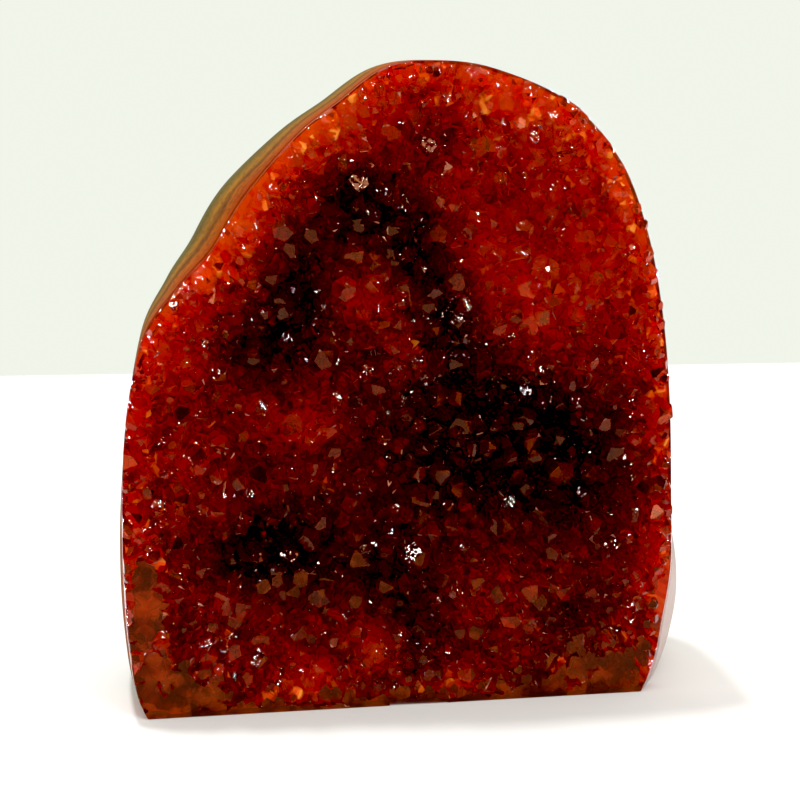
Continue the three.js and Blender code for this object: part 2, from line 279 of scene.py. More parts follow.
# Painted glow and dark of the crust: the glow stands in for light passing through the stone, the dark partly
# for its darker body and partly for painted shade. x, z, half width, half height and how much.
GLOW = [
    (-7, 102, 9, 9, -0.6), (-19, 85, 8, 12, -0.55), (-27, 73, 9, 6, -0.35), (6, 92, 7, 10, -0.5),
    (13, 77, 6, 11, -0.5), (-5, 84, 6, 6, 0.1), (4, 60, 16, 14, -0.16), (29, 53, 16, 9, -0.55),
    (22, 61, 9, 6, -0.3), (36, 42, 13, 9, -0.3), (12, 44, 14, 9, -0.25), (-27, 31, 10, 6, -0.5),
    (-8, 29, 12, 7, -0.25), (3, 20, 7, 10, -0.2), (6, 8, 5, 8, -0.15), (-20, 57, 9, 4, 0.35),
    (4, 71, 4, 4, 0.25), (-7, 83, 4, 3, 0.35), (22, 20, 7, 5, 0.15), (-19, 4, 5, 4, 0.5),
    (-5, 11, 5, 5, 0.35), (10, 2, 6, 3, 0.4), (20, 88, 8, 8, 0.25), (40, 84, 9, 6, 0.25),
    (-41, 72, 6, 5, 0.2), (-30, 98, 9, 12, 0.1), (-14, 116, 10, 7, 0.33), (36, 18, 12, 14, -0.12),
    (25, 120, 10, 6, 0.2), (10, 115, 8, 6, -0.25), (-42, 50, 8, 14, 0.15),
]
# Painted glow: an even level, more towards the top and more towards the rim, where light through the stone is
# painted in.
EVEN_GLOW, UPPER_GLOW, RIM_GLOW = 0.36, 0.2, 0.22
UPPER_START, UPPER_HEIGHT = 60, 35
RIM_START, RIM_WIDTH, RIM_POWER = 0.8, 0.2, 1.5  # as shares of the way from the middle to the rim
MOST_GLOW = 1.2


def painted_glow_at(xz):
    """0 where the crust is painted nearly black, 1 where it is painted glowing with light through the stone.
    """
    share = share_of_face(xz)
    upper = np.clip((xz[..., 1] - UPPER_START) / UPPER_HEIGHT, 0, 1)
    rim = np.clip((share - RIM_START) / RIM_WIDTH, 0, 1) ** RIM_POWER
    glow = EVEN_GLOW + UPPER_GLOW * upper + RIM_GLOW * rim
    for x, z, rx, rz, much in GLOW:
        away = ((xz[..., 0] - x) / rx) ** 2 + ((xz[..., 1] - z) / rz) ** 2
        glow = glow + much * np.exp(-away)
    return np.clip(glow, 0, MOST_GLOW)


# The crystals, in two sizes. Big ones reach past the ground face, which cuts them flat.
BIG_PITCH, BIG_RADIUS, BIG_APEX = 4.0, (1.5, 2.8), (-2.0, 4.6)  # apex: depth under the ground face
SMALLER_POWER = 1.4  # over 1, more of the big ones are small
UPPER_APEX, UPPER_APEX_START, UPPER_APEX_HEIGHT = 1.2, 55, 30
SMALL_PITCH, SMALL_RADIUS, SMALL_RISE = 2.4, (0.8, 1.4), (1.0, 3.6)  # rise: height over the bed
LEAST_RISE = 2.6
APART = 4  # crystals this many cells apart never touch
JITTER = 0.36
TILT = 0.36
FLAT_SPREAD = (0.8, 1.15)  # of the radius, for each side
ROOT = 3.0
FACE_SLOPE = math.radians(51.8)
SET_BACK = (0.0, 0.6)  # of the radius, for every second end face
BEVEL = 0.055
UNBEVELLED = 13  # the planes of a crystal before its bevels
SAME_CORNER = 2e-3
NEARLY_PARALLEL, ON_PLANE = 1e-5, 1e-6
BATCH = 256  # solids worked out at once
LANDS_END = 0.992
CORE_PITCH, CORE_RADIUS, CORE_RISE = 2.9, (1.1, 2.2), (1.0, 3.0)
CORE_UNDER, CORE_LIFT = 2.8, 1.6  # depth under the bed, and how much nearer it is where the crust's glow is painted in
CORE_LEAST_DEPTH, CORE_RIM_DEPTH = 2.6, 4.2
CORE_RIM_START, CORE_RIM_WIDTH = 0.93, 0.05
SEED = 7

BED_DROP, BED_AT_RIM = 0.6, 2.5
FLUSH_HEIGHT = -1.0  # depth of the bed where the ground face cuts into massive quartz
FOOT_TOP, FOOT_FALL = 1.0, 1.3  # the foot's flush strip: its height, and how fast it ends
FLUSH_CORNERS = [(43, 1, 14, 8), (-46, 1, 10, 9), (-51, 20, 3.0, 16)]  # x, z, half width, half height
CORNER_POWER = 1.5
SLOPE_STEP = 1.5


def bed_for_looks(xz):
    """The fine crystals' bed, flush with the ground face at the foot, in the low corners and up the left."""
    deep = np.maximum(bed_depth(xz) + BED_DROP, BED_AT_RIM)
    over_strip = np.maximum(xz[..., 1] - FOOT_TOP, 0)
    flush = np.exp(-((over_strip / FOOT_FALL) ** 2))
    for x, z, rx, rz in FLUSH_CORNERS:
        away = ((xz[..., 0] - x) / rx) ** 2 + ((xz[..., 1] - z) / rz) ** 2
        flush = np.maximum(flush, np.exp(-(away**CORNER_POWER)))
    return deep * (1 - flush) + FLUSH_HEIGHT * flush


def bed_direction(xz):
    """The way that crystals grow from the bed: straight out of it."""
    dx, dz = np.array([SLOPE_STEP, 0]), np.array([0, SLOPE_STEP])
    slope_x = (bed_for_looks(xz + dx) - bed_for_looks(xz - dx)) / (2 * SLOPE_STEP)
    slope_z = (bed_for_looks(xz + dz) - bed_for_looks(xz - dz)) / (2 * SLOPE_STEP)
    return np.stack([slope_x, -np.ones(len(xz)), slope_z], 1)


def unit(v):
    return v / np.linalg.norm(v, axis=-1, keepdims=True)


def lattice(pitch, random):
    """Scattered places on the face, with their row and column."""
    row_step = pitch * math.sqrt(3) / 2
    rows, columns = int(FACE_REACH[1] / row_step) + 1, int(FACE_REACH[0] / pitch) + 1
    row, column = np.mgrid[-1 : rows + 1, -columns : columns + 1].reshape(2, -1)
    x = (column + (row % 2) / 2) * pitch
    xz = np.stack([x, row * row_step], 1) + random.uniform(-JITTER, JITTER, (len(x), 2)) * pitch
    kept = (share_of_face(xz) < LANDS_END) & (xz[:, 1] > -pitch / 2)
    return xz[kept], row[kept], column[kept]


def crystal_planes(xz, radius, height, random, bed=bed_for_looks):
    """Normals and distances of the planes round each crystal: root, sides, end faces and narrow bevels."""
    count = len(xz)
    root = np.column_stack([xz[:, 0], bed(xz), xz[:, 1]])
    axis = unit(bed_direction(xz))
    axis = unit(axis + random.uniform(-TILT, TILT, (count, 3)) * (1, 0, 1))
    side = unit(np.cross((0, 0, 1.0), axis))
    other = np.cross(axis, side)
    spin = random.uniform(0, 2 * math.pi / 3, count)
    flats, slopes, flat_at, slope_at = [], [], [], []
    for i in range(6):
        turn = (spin + i * math.pi / 3)[:, None]
        flat = side * np.cos(turn) + other * np.sin(turn)
        set_back = random.uniform(*SET_BACK, count) * radius * (i % 2)
        flats.append(flat)
        flat_at.append(radius * random.uniform(*FLAT_SPREAD, count))
        slopes.append(flat * math.sin(FACE_SLOPE) + axis * math.cos(FACE_SLOPE))
        slope_at.append(height * math.cos(FACE_SLOPE) + set_back * math.sin(FACE_SLOPE))
    bevels, bevel_at = [], []
    for i in range(6):
        between = slopes[i] + slopes[(i + 1) % 6]
        length = np.linalg.norm(between, axis=1)
        bevels.append(between / length[:, None])
        bevel_at.append((slope_at[i] + slope_at[(i + 1) % 6]) / length - BEVEL)
    normals = np.stack([-axis] + flats + slopes + bevels, 1)
    distances = np.stack([np.full(count, ROOT)] + flat_at + slope_at + bevel_at, 1)
    return normals, distances + np.einsum("nij,nj->ni", normals, root)


def solids_of_planes(normals, distances):
    """Corners and faces of each convex solid that a set of planes cuts out. A doubtful one has no faces."""
    count, planes = distances.shape
    i, j, k = np.array(list(combinations(range(planes), 3))).T
    made = []
    for start in range(0, count, BATCH):
        n, d = normals[start : start + BATCH], distances[start : start + BATCH]
        a, b, c = n[:, i], n[:, j], n[:, k]
        bc = np.cross(b, c)
        spread = np.einsum("nti,nti->nt", a, bc)
        sound = np.abs(spread) > NEARLY_PARALLEL
        spread = np.where(sound, spread, 1)
        at = d[:, i, None] * bc + d[:, j, None] * np.cross(c, a) + d[:, k, None] * np.cross(a, b)
        at /= spread[..., None]
        inside = sound & (np.matmul(at, n.transpose(0, 2, 1)) < d[:, None] + ON_PLANE).all(-1)
        for s in range(len(n)):
            corners = at[s][inside[s]]
            near = np.linalg.norm(corners[:, None] - corners[None], axis=-1) < SAME_CORNER
            corners = corners[np.unique(near.argmax(1))]
            off = np.abs(corners @ n[s].T - d[s]) < 2 * SAME_CORNER
            faces = []
            for p in np.flatnonzero(off.sum(0) > 2):
                on = np.flatnonzero(off[:, p])
                arm = corners[on] - corners[on].sum(0) / len(on)
                (nx, ny, nz), (ax, ay, az) = n[s, p].tolist(), arm[0].tolist()
                up = (ny * az - nz * ay, nz * ax - nx * az, nx * ay - ny * ax)
                faces.append(on[np.argsort(np.arctan2(arm @ up, arm @ arm[0]))].tolist())
            edges = {(f[e - 1], f[e]) for f in faces for e in range(len(f))}
            closed = len(edges) == sum(len(f) for f in faces) and all((v, u) in edges for u, v in edges)
            made.append((corners, faces if closed else []))
    return made


def meshes_of_solids(name, solids, group):
    """The solids as a few meshes, one for each group, in none of which two touch."""
    objects = []
    for g in np.unique(group):
        points, faces, base = [], [], 0
        for i in np.flatnonzero(group == g):
            corners, own = solids[i]
            if own:
                points.append(corners)
                faces += [[base + v for v in f] for f in own]
                base += len(corners)
        if base:
            objects.append(new_object(f"{name}_{g}", in_row_frame(np.vstack(points)), faces))
    return objects


def big_crystals(random):
    """The big crystals' planes, and each one's group."""
    xz, row, column = lattice(BIG_PITCH, random)
    size = random.uniform(0, 1, len(xz)) ** SMALLER_POWER
    radius = BIG_RADIUS[0] + (BIG_RADIUS[1] - BIG_RADIUS[0]) * size
    deeper = UPPER_APEX * np.clip((xz[:, 1] - UPPER_APEX_START) / UPPER_APEX_HEIGHT, 0, 1)
    apex = random.uniform(*BIG_APEX, len(xz)) + deeper
    height = np.maximum(bed_for_looks(xz) - apex, LEAST_RISE)
    return crystal_planes(xz, radius, height, random), (row % APART) * APART + column % APART


def small_crystals(random):
    """The small crystals' planes, and each one's group."""
    xz, row, column = lattice(SMALL_PITCH, random)
    radius = random.uniform(*SMALL_RADIUS, len(xz))
    height = random.uniform(*SMALL_RISE, len(xz))
    return crystal_planes(xz, radius, height, random), (row % APART) * APART + column % APART


def core_bed(xz):
    """The bed of the cloudy cores, nearer to the crystals' own bed where the crust's glow is painted in."""
    rim = np.clip((share_of_face(xz) - CORE_RIM_START) / CORE_RIM_WIDTH, 0, 1)
    under = CORE_UNDER - CORE_LIFT * np.clip(painted_glow_at(xz), 0, 1)
    return np.maximum(bed_for_looks(xz) + under, CORE_LEAST_DEPTH) * (1 - rim) + CORE_RIM_DEPTH * rim


def core_crystals(random):
    """The planes of the cloudy cores' points, and each one's group."""
    xz, row, column = lattice(CORE_PITCH, random)
    radius = random.uniform(*CORE_RADIUS, len(xz))
    height = random.uniform(*CORE_RISE, len(xz))
    planes = crystal_planes(xz, radius, height, random, core_bed)
    return planes, (row % APART) * APART + column % APART


SLAB_RINGS = np.linspace(0.04, 1, 40)
SLAB_REACH = 1.1
CRUST_BED = 0.8  # how far the slab under the crystals lies behind their bed
CRUST_TUCK, CORE_FRONT, CORE_TUCK, CORE_SCALE, CORE_FOOT = 0.4, 1.0, 1.0, 0.99, 0.6


def slab(name, depth_of, back, reach):
    """A closed slab over the face, with its front at depth_of(x and z)."""
    rings = []
    for scale in np.append(SLAB_RINGS, reach):
        line = ring(0, 0, scale)
        line[:, 1] = depth_of(line[:, [0, 2]])
        rings.append(line)
    rings.append(ring(back, 0, reach))
    front = middle(float(depth_of(FACE_CENTRE)))
    return skin_over(name, front, rings, middle(back))


def crust_space(name, front, tuck, scale_in):
    """The closed space from the depth of its front to a tuck behind the dish, drawn in by a scale."""
    front_swell = math.sin(math.pi / 2 * WALL_FRONT / MID_DEPTH)
    here = ring(front, front_swell * front / WALL_FRONT, scale_in)
    rings = [here, ring(WALL_FRONT, front_swell, scale_in)]
    rings += [ring(dish_depth(scale) + tuck, front_swell, scale * scale_in) for scale in DISH_RINGS[::-1]]
    return skin_over(name, middle(front), rings, middle(DISH_DEPTH + tuck))


def over_foot(height):
    """All that lies over a height in millimetres."""
    return block("above", (-FAR, -FAR, height * MM), (FAR, FAR, FAR))


def chip():
    """A wedge for the break in the foot's front edge."""
    far_end = (CHIP_X + CHIP_LENGTH, CHIP_HEIGHT * CHIP_TAPER[0], CHIP_DEPTH * CHIP_TAPER[1])
    ends = [(CHIP_X, CHIP_HEIGHT, CHIP_DEPTH), far_end]
    corners = np.array([[(x, -1, -1), (x, -1, high), (x, deep, -1)] for x, high, deep in ends]).reshape(-1, 3)
    faces = [(0, 1, 2), (3, 5, 4), (0, 3, 4, 1), (1, 4, 5, 2), (2, 5, 3, 0)]
    return new_object("chip", in_row_frame(corners), faces)


def drop_chips(obj):
    """Keeps the largest connected part, without the loose chips that the cuts leave."""
    mesh = obj.data
    ends = np.empty(len(mesh.edges) * 2, np.int64)
    mesh.edges.foreach_get("vertices", ends)
    a, b = ends.reshape(-1, 2).T
    part = np.arange(len(mesh.vertices))
    while (part[a] != part[b]).any():
        lower = np.minimum(part[a], part[b])
        np.minimum.at(part, a, lower)
        np.minimum.at(part, b, lower)
        part = part[part]
    largest = np.bincount(part).argmax()
    shape = bmesh.new()
    shape.from_mesh(mesh)
    loose = [v for v, own in zip(shape.verts, part) if own != largest]
    bmesh.ops.delete(shape, geom=loose, context="VERTS")
    shape.to_mesh(mesh)
    shape.free()


def make_crust_and_cores():
    random = np.random.default_rng(SEED)
    (normals, distances), group = big_crystals(random)
    (small_normals, small_distances), small_group = small_crystals(random)
    points = meshes_of_solids("big", solids_of_planes(normals, distances), group)
    unbevelled = solids_of_planes(small_normals[:, :UNBEVELLED], small_distances[:, :UNBEVELLED])
    points += meshes_of_solids("small", unbevelled, small_group)
    crust = slab("crust", lambda xz: bed_for_looks(xz) + CRUST_BED, BACK_DEPTH, SLAB_REACH)
    with_boolean(crust, "UNION", points)
    with_boolean(crust, "INTERSECT", [crust_space("space", 0, CRUST_TUCK, 1)])
    with_boolean(crust, "INTERSECT", [over_foot(CRUST_FOOT)])
    with_boolean(crust, "DIFFERENCE", [chip()])
    cores = slab("cores", core_bed, BACK_DEPTH, SLAB_REACH)
    (normals, distances), group = core_crystals(random)
    inner = solids_of_planes(normals, distances)
    with_boolean(cores, "UNION", meshes_of_solids("core", inner, group))
    with_boolean(cores, "INTERSECT", [crust_space("inner", CORE_FRONT, CORE_TUCK, CORE_SCALE)])
    with_boolean(cores, "INTERSECT", [over_foot(CORE_FOOT)])
    drop_chips(crust)
    drop_chips(cores)
    return crust, cores


wall = make_wall()
crust, cores = make_crust_and_cores()

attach(wall, "root")
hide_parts("chalcedony_wall")
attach(crust, "root")
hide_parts("crystal_crust")
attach(cores, "root")
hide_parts("crystal_crust")


PALE_X, PALE_WIDTH, PALE_Z, PALE_HEIGHT = 20, 25, 60, 40  # where the wall's pale painted highlight lies, and over what length


def mark(obj):
    """Gives each vertex its depth behind the ground face in mm, how much pale painted highlight it has and
    how sunk it is there.
    """
    at = np.empty(len(obj.data.vertices) * 3)
    obj.data.vertices.foreach_get("co", at)
    at = at.reshape(-1, 3) / MM
    depth = at[:, 1] - FACE_FOOT[1] - at[:, 2] * LEAN
    pale = np.clip((at[:, 0] - PALE_X) / PALE_WIDTH, 0, 1) * np.clip((PALE_Z - at[:, 2]) / PALE_HEIGHT, 0, 1)
    sunk = pits(np.column_stack([at[:, 0] - FACE_FOOT[0], depth, at[:, 2]]))
    for name, value in (("depth", depth), ("pale", pale), ("sunk", sunk)):
        obj.data.attributes.new(name, "FLOAT", "POINT").data.foreach_set("value", value.astype(np.float32))


# Colours from the darkest to the brightest part: how much painted glow it has, then red, green and blue.
CRUST_TINTS = np.array([
    (0.0, 0.2, 0.01, 0.01), (0.3, 0.45, 0.03, 0.02), (0.55, 0.95, 0.1, 0.02), (0.9, 1.0, 0.36, 0.08),
])
CORE_TINTS = np.array([
    (0.0, 0.04, 0.003, 0.003), (0.3, 0.35, 0.02, 0.012), (0.55, 0.95, 0.1, 0.02), (0.8, 1.0, 0.26, 0.04),
    (1.0, 1.0, 0.36, 0.06),
])
# Random tone of each facet, and a share of facets painted brighter as painted glow spots, with how much
# brighter.
TONE, TONE_IN_DARK, GLOW_SPOT_SHARE, GLOW_SPOT = 0.17, 0.5, 0.08, (0.3, 0.9)
MOTTLE_SIZE, MOTTLE = 3.0, 0.45
# Narrow facets along the edges: how narrow, and the share that gets the worn edge paint with its painted
# highlight.
EDGE_WIDTH, EDGE_SHARE = 0.2, 0.3
ROUNDED = math.cos(math.radians(40))


def paint_facets(obj, tints, random):
    """Gives each facet a colour of its own, lighter where the crust's glow is painted in."""
    mesh = obj.data
    count = len(mesh.polygons)
    at = np.empty(count * 3)
    mesh.polygons.foreach_get("center", at)
    at = at.reshape(-1, 3) / MM
    glow = painted_glow_at(np.column_stack([at[:, 0] - FACE_FOOT[0], at[:, 2]]))
    mottle = np.array([noise.noise(Vector(p) / MOTTLE_SIZE) for p in at])
    tone = random.normal(0, TONE, count) + MOTTLE * mottle
    # painted glow spots: a random share of facets painted brighter, as if lit through
    glow_spot = random.uniform(0, 1, count) < GLOW_SPOT_SHARE
    tone[glow_spot] += random.uniform(*GLOW_SPOT, glow_spot.sum())
    shade = glow + tone * (TONE_IN_DARK + (1 - TONE_IN_DARK) * glow)
    levels, *channels = tints.T
    colour = np.column_stack([np.interp(shade, levels, channel) for channel in channels] + [np.ones(count)])
    paint = mesh.attributes.new("paint", "FLOAT_COLOR", "FACE")
    paint.data.foreach_set("color", colour.astype(np.float32).ravel())


def round_edges(obj):
    """Lets the narrow facets along the crystals' edges shade as if round. Says which ones they are."""
    mesh = obj.data
    narrow = np.zeros(len(mesh.polygons), bool)
    wide_at = [[] for _ in mesh.vertices]
    for i, polygon in enumerate(mesh.polygons):
        corners = [mesh.vertices[v].co for v in polygon.vertices]
        longest = max((a - b).length for a, b in zip(corners, corners[1:] + corners[:1]))
        narrow[i] = polygon.area < EDGE_WIDTH * MM * longest
        if not narrow[i]:
            for v in polygon.vertices:
                wide_at[v].append((polygon.area, polygon.normal.copy()))
    normals = []
    for i, polygon in enumerate(mesh.polygons):
        for v in polygon.vertices:
            normal = polygon.normal
            near = [(area, n) for area, n in wide_at[v] if n.dot(normal) > ROUNDED] if narrow[i] else []
            normals.append(tuple(max(near, key=lambda pair: pair[0])[1] if near else normal))
    mesh.shade_smooth()
    mesh.normals_split_custom_set(normals)
    return narrow


# Materials.
class Tree:
    """A short way to write nodes."""

    def __init__(self, owner):
        owner.use_nodes = True
        self.tree = owner.node_tree

    def link(self, a, b):
        self.tree.links.new(a, b)

    def put(self, value, socket):
        if isinstance(value, bpy.types.NodeSocket):
            self.link(value, socket)
        else:
            socket.default_value = value

    def add(self, kind, **settings):
        node = self.tree.nodes.new("ShaderNode" + kind)
        for key, value in settings.items():
            setattr(node, key, value)
        return node

    def math(self, operation, a, b=0.0, c=0.0):
        node = self.add("Math", operation=operation)
        for value, socket in zip((a, b, c), node.inputs):
            self.put(value, socket)
        return node.outputs[0]

    def ramp(self, fac, *stops):
        node = self.add("ValToRGB")
        self.link(fac, node.inputs["Fac"])
        elements = node.color_ramp.elements
        while len(elements) < len(stops):
            elements.new(0.5)
        for element, (at, colour) in zip(elements, stops):
            element.position = at
            element.color = (*colour, 1)
        return node.outputs["Color"]

    def mix(self, fac, a, b, blend="MIX"):
        node = self.add("Mix", data_type="RGBA", blend_type=blend)
        self.put(fac, node.inputs[0])  # 6, 7 and output 2 are the sockets for colours
        self.put(a, node.inputs[6])
        self.put(b, node.inputs[7])
        return node.outputs[2]


class Nodes(Tree):
    """The nodes of a material."""

    def __init__(self, name):
        self.material = bpy.data.materials.new(name)
        super().__init__(self.material)
        self.tree.nodes.clear()
        self.out = self.add("OutputMaterial")
        self.shader = self.add("BsdfPrincipled")
        self.link(self.shader.outputs[0], self.out.inputs["Surface"])

    def value(self, name):
        return self.add("Attribute", attribute_name=name).outputs["Fac"]

    def colour(self, name):
        return self.add("Attribute", attribute_name=name).outputs["Color"]

    def place(self):
        return self.add("TexCoord").outputs["Object"]

    def noise(self, size, detail=3.0, roughness=0.55):
        """Noise with features of that size, in millimetres."""
        node = self.add("TexNoise")
        self.link(self.place(), node.inputs["Vector"])
        node.inputs["Scale"].default_value = 1 / (size * MM)
        node.inputs["Detail"].default_value = detail
        node.inputs["Roughness"].default_value = roughness
        return node.outputs["Fac"]

    def cells(self, size):
        """A random shade for each cell of that size, in millimetres."""
        node = self.add("TexVoronoi")
        self.link(self.place(), node.inputs["Vector"])
        node.inputs["Scale"].default_value = 1 / (size * MM)
        split = self.add("SeparateColor")
        self.link(node.outputs["Color"], split.inputs[0])
        return split.outputs[0]

    def set(self, **values):
        for name, value in values.items():
            self.put(value, self.shader.inputs[name.replace("_", " ")])


UNEVEN_SIZE, UNEVEN = 0.7, 0.14  # mm, and how far a facet's direction strays


def uneven_normal(n):
    """The facet's direction, straying a little over it as on a grown face."""
    wave = n.add("TexNoise")
    n.link(n.place(), wave.inputs["Vector"])
    wave.inputs["Scale"].default_value = 1 / (UNEVEN_SIZE * MM)
    wave.inputs["Detail"].default_value = 1.5
    tilt = n.add("VectorMath", operation="SUBTRACT")
    n.link(wave.outputs["Color"], tilt.inputs[0])
    tilt.inputs[1].default_value = (0.5, 0.5, 0.5)
    tilted = n.add("VectorMath", operation="MULTIPLY_ADD")
    n.link(tilt.outputs[0], tilted.inputs[0])
    tilted.inputs[1].default_value = (UNEVEN, UNEVEN, UNEVEN)
    n.link(n.add("NewGeometry").outputs["Normal"], tilted.inputs[2])
    whole = n.add("VectorMath", operation="NORMALIZE")
    n.link(tilted.outputs[0], whole.inputs[0])
    return whole.outputs[0]


QUARTZ_IOR = 1.544
BODY_COLOUR, BODY_DENSITY = (0.98, 0.62, 0.0, 1), 700  # per metre


def clear_crystal(n, colour, clear, tint):
    """Clear quartz with its body colour, which reflects with a tint."""
    n.set(Base_Color=colour, Transmission_Weight=clear, IOR=QUARTZ_IOR, Roughness=0.0, Specular_Tint=tint)
    absorb = n.add("VolumeAbsorption")
    absorb.inputs["Color"].default_value = BODY_COLOUR
    absorb.inputs["Density"].default_value = BODY_DENSITY
    n.link(absorb.outputs[0], n.out.inputs["Volume"])
    return n.material


def citrine():
    """The crystals' grown faces, in the colours that paint_facets() gives them."""
    n = Nodes("citrine")
    n.set(Normal=uneven_normal(n))
    return clear_crystal(n, n.colour("paint"), clear=0.93, tint=(1, 0.4, 0.2, 1))


CUT_CLOUD, CUT_CELLS = 0.8, 0.25  # how far each of them shades the ground face
CUT_SHADES = [(0.38, (0.06, 0.006, 0.005)), (0.52, (0.2, 0.022, 0.008)), (0.68, (0.6, 0.1, 0.015))]


def cut_citrine():
    """The ground face, a soft mosaic of the crystals that it cuts."""
    n = Nodes("cut_citrine")
    cloud = n.math("MULTIPLY", n.noise(5.0), CUT_CLOUD)
    shade = n.math("ADD", cloud, n.math("MULTIPLY", n.cells(2.8), CUT_CELLS))
    return clear_crystal(n, n.ramp(shade, *CUT_SHADES), clear=0.8, tint=(0.9, 0.3, 0.15, 1))


def worn_and_lit_edge():
    """The crystals' bruised edges, painted lighter, which is partly a painted highlight of light caught along
    them.
    """
    n = Nodes("worn_and_lit_edge")
    shade = n.ramp(n.noise(1.5, detail=1.0), (0.35, (0.12, 0.02, 0.015)), (0.65, (0.6, 0.22, 0.13)))
    n.set(Base_Color=shade, Roughness=0.3)
    return n.material


def cloudy_root():
    """The coloured, cloudy quartz inside the clear crystals, in the facet colours with painted glow that
    paint_facets() gives them.
    """
    n = Nodes("cloudy_root")
    n.set(Base_Color=n.colour("paint"), Roughness=0.6, Specular_IOR_Level=0)
    return n.material


def dish_lining():
    """The wall's inside, which shows only through the crystals."""
    n = Nodes("dish_lining")
    colour = n.ramp(n.noise(2.5), (0.35, (0.2, 0.02, 0.01)), (0.65, (0.8, 0.25, 0.07)))
    n.set(Base_Color=colour, Specular_IOR_Level=0)
    return n.material


# The bands of the wall, from the crystals to the back: depth in mm and colour.
BANDS = [
    (0, (0.35, 0.02, 0.002)), (5.4, (0.35, 0.05, 0.004)), (9, (0.36, 0.1, 0.01)),
    (10.8, (0.15, 0.05, 0.01)), (13.8, (0.34, 0.15, 0.02)), (19.2, (0.12, 0.095, 0.02)),
    (30, (0.16, 0.15, 0.07)), (45, (0.28, 0.22, 0.17)), (60, (0.25, 0.21, 0.17)),
]
BANDED_DEPTH = 60.0
FINE_BAND_PITCH = 1.9
BAND_BEND, BAND_WANDER = 7.0, 2.0  # how far, in mm, the bands bend and their edges wander
# The pale painted highlight low on the right, where the polished wall would mirror the bright surroundings:
# its cloud and its start.
HIGHLIGHT_CLOUD, HIGHLIGHT_START = 0.25, 0.17
PIT_SHADE, RIND_GRAIN = 0.45, 0.9  # how much darker the pits are painted, as painted shade, and the relief in mm
FINE_BAND, GRAIN, HIGHLIGHT_COLOUR = (0.1, 0.05, 0.02, 1), (0.05, 0.022, 0.01, 1), (0.62, 0.52, 0.5, 1)
RIND_START, RIND_FULL = 28.8, 32.4
RIND = [(0.1, (0.04, 0.03, 0.02)), (0.4, (0.12, 0.09, 0.06)), (0.75, (0.31, 0.25, 0.18))]
GREEN_RIND = [(0.1, (0.03, 0.04, 0.025)), (0.75, (0.17, 0.2, 0.12))]
NONE = (0, 0, 0)
POLISHED, RIND_ROUGHER = 0.28, 0.5  # roughness, and what the rind adds
SHEEN = 0.12  # as metal: a plain gloss would mirror the pale surroundings and hide the bands


def grey(shade):
    return (shade, shade, shade)


def polished_bands(n, along):
    """Bands with fine lines and grains in them, and a pale painted highlight low on the right."""
    stops = [(depth / BANDED_DEPTH, colour) for depth, colour in BANDS]
    band = n.ramp(n.math("DIVIDE", along, BANDED_DEPTH), *stops)
    wave = n.math("SINE", n.math("MULTIPLY", along, 2 * math.pi / FINE_BAND_PITCH))
    faint = n.ramp(n.noise(9.0), (0.4, NONE), (0.65, grey(0.4)))
    band = n.mix(n.math("MULTIPLY", n.math("MULTIPLY_ADD", wave, 0.5, 0.5), faint), band, FINE_BAND)
    band = n.mix(n.ramp(n.noise(0.9, detail=4.0), (0.36, grey(0.45)), (0.5, NONE)), band, GRAIN)
    # painted highlight, pale and cloudy, low on the right of the wall
    pale = n.math("SUBTRACT", n.value("pale"), HIGHLIGHT_START)
    highlight = n.math("MULTIPLY_ADD", n.noise(2.5), HIGHLIGHT_CLOUD, pale)
    return n.mix(highlight, band, HIGHLIGHT_COLOUR)


def rind_colour(n):
    """A brown skin with painted shade in its pits, and green patches."""
    speckle = n.math("MULTIPLY_ADD", n.noise(3.0, detail=6.0, roughness=0.7), 1.3, 0.1)
    # painted shade: the skin darker where it is sunk in the pits
    worn_and_painted_light = n.math("SUBTRACT", speckle, n.math("MULTIPLY", n.value("sunk"), PIT_SHADE))
    green = n.ramp(n.noise(22, detail=5.0), (0.5, NONE), (0.68, grey(0.75)))
    return n.mix(green, n.ramp(worn_and_painted_light, *RIND), n.ramp(worn_and_painted_light, *GREEN_RIND))


def chalcedony():
    """The wall: polished and banded at the front and sides, with a rough rind at the back."""
    n = Nodes("chalcedony")
    bend = n.math("MULTIPLY_ADD", n.noise(16), BAND_BEND, -BAND_BEND / 2)
    wander = n.math("MULTIPLY_ADD", n.noise(1.5), BAND_WANDER, -BAND_WANDER / 2)
    along = n.math("ADD", n.math("ADD", n.value("depth"), bend), wander)
    ends = (RIND_START / BANDED_DEPTH, NONE), (RIND_FULL / BANDED_DEPTH, (1, 1, 1))
    rind = n.ramp(n.math("DIVIDE", along, BANDED_DEPTH), *ends)
    bump = n.add("Bump")
    bump.inputs["Distance"].default_value = RIND_GRAIN * MM
    n.link(n.math("MULTIPLY", n.noise(1.6, detail=5.0, roughness=0.65), rind), bump.inputs["Height"])
    n.set(
        Base_Color=n.mix(rind, polished_bands(n, along), rind_colour(n)),
        Roughness=n.math("MULTIPLY_ADD", rind, RIND_ROUGHER, POLISHED),
        Specular_IOR_Level=0,
        Metallic=SHEEN,
        Normal=bump.outputs["Normal"],
    )
    return n.material


def inside_dish(polygon):
    """Whether a facet of the wall faces the crystals."""
    x, y, z = polygon.center / MM
    inward = polygon.normal.x * (x - FACE_FOOT[0]) + polygon.normal.z * (z - FACE_CENTRE[1]) < 0
    return inward and y - FACE_FOOT[1] - z * LEAN < DISH_DEPTH + 1


FACE_DIRECTION = Vector((0, -1, LEAN)).normalized()
ON_FACE, SAME_DIRECTION = 0.05, 0.999
LINING, CUT, WORN_AND_LIT = 1, 1, 2  # places of the wall's and the crust's further materials


def on_ground_face(polygon):
    """Whether a facet of the crust is a cut one."""
    depth = (polygon.center.y / MM - FACE_FOOT[1]) - polygon.center.z / MM * LEAN
    return depth < ON_FACE and polygon.normal.dot(FACE_DIRECTION) > SAME_DIRECTION


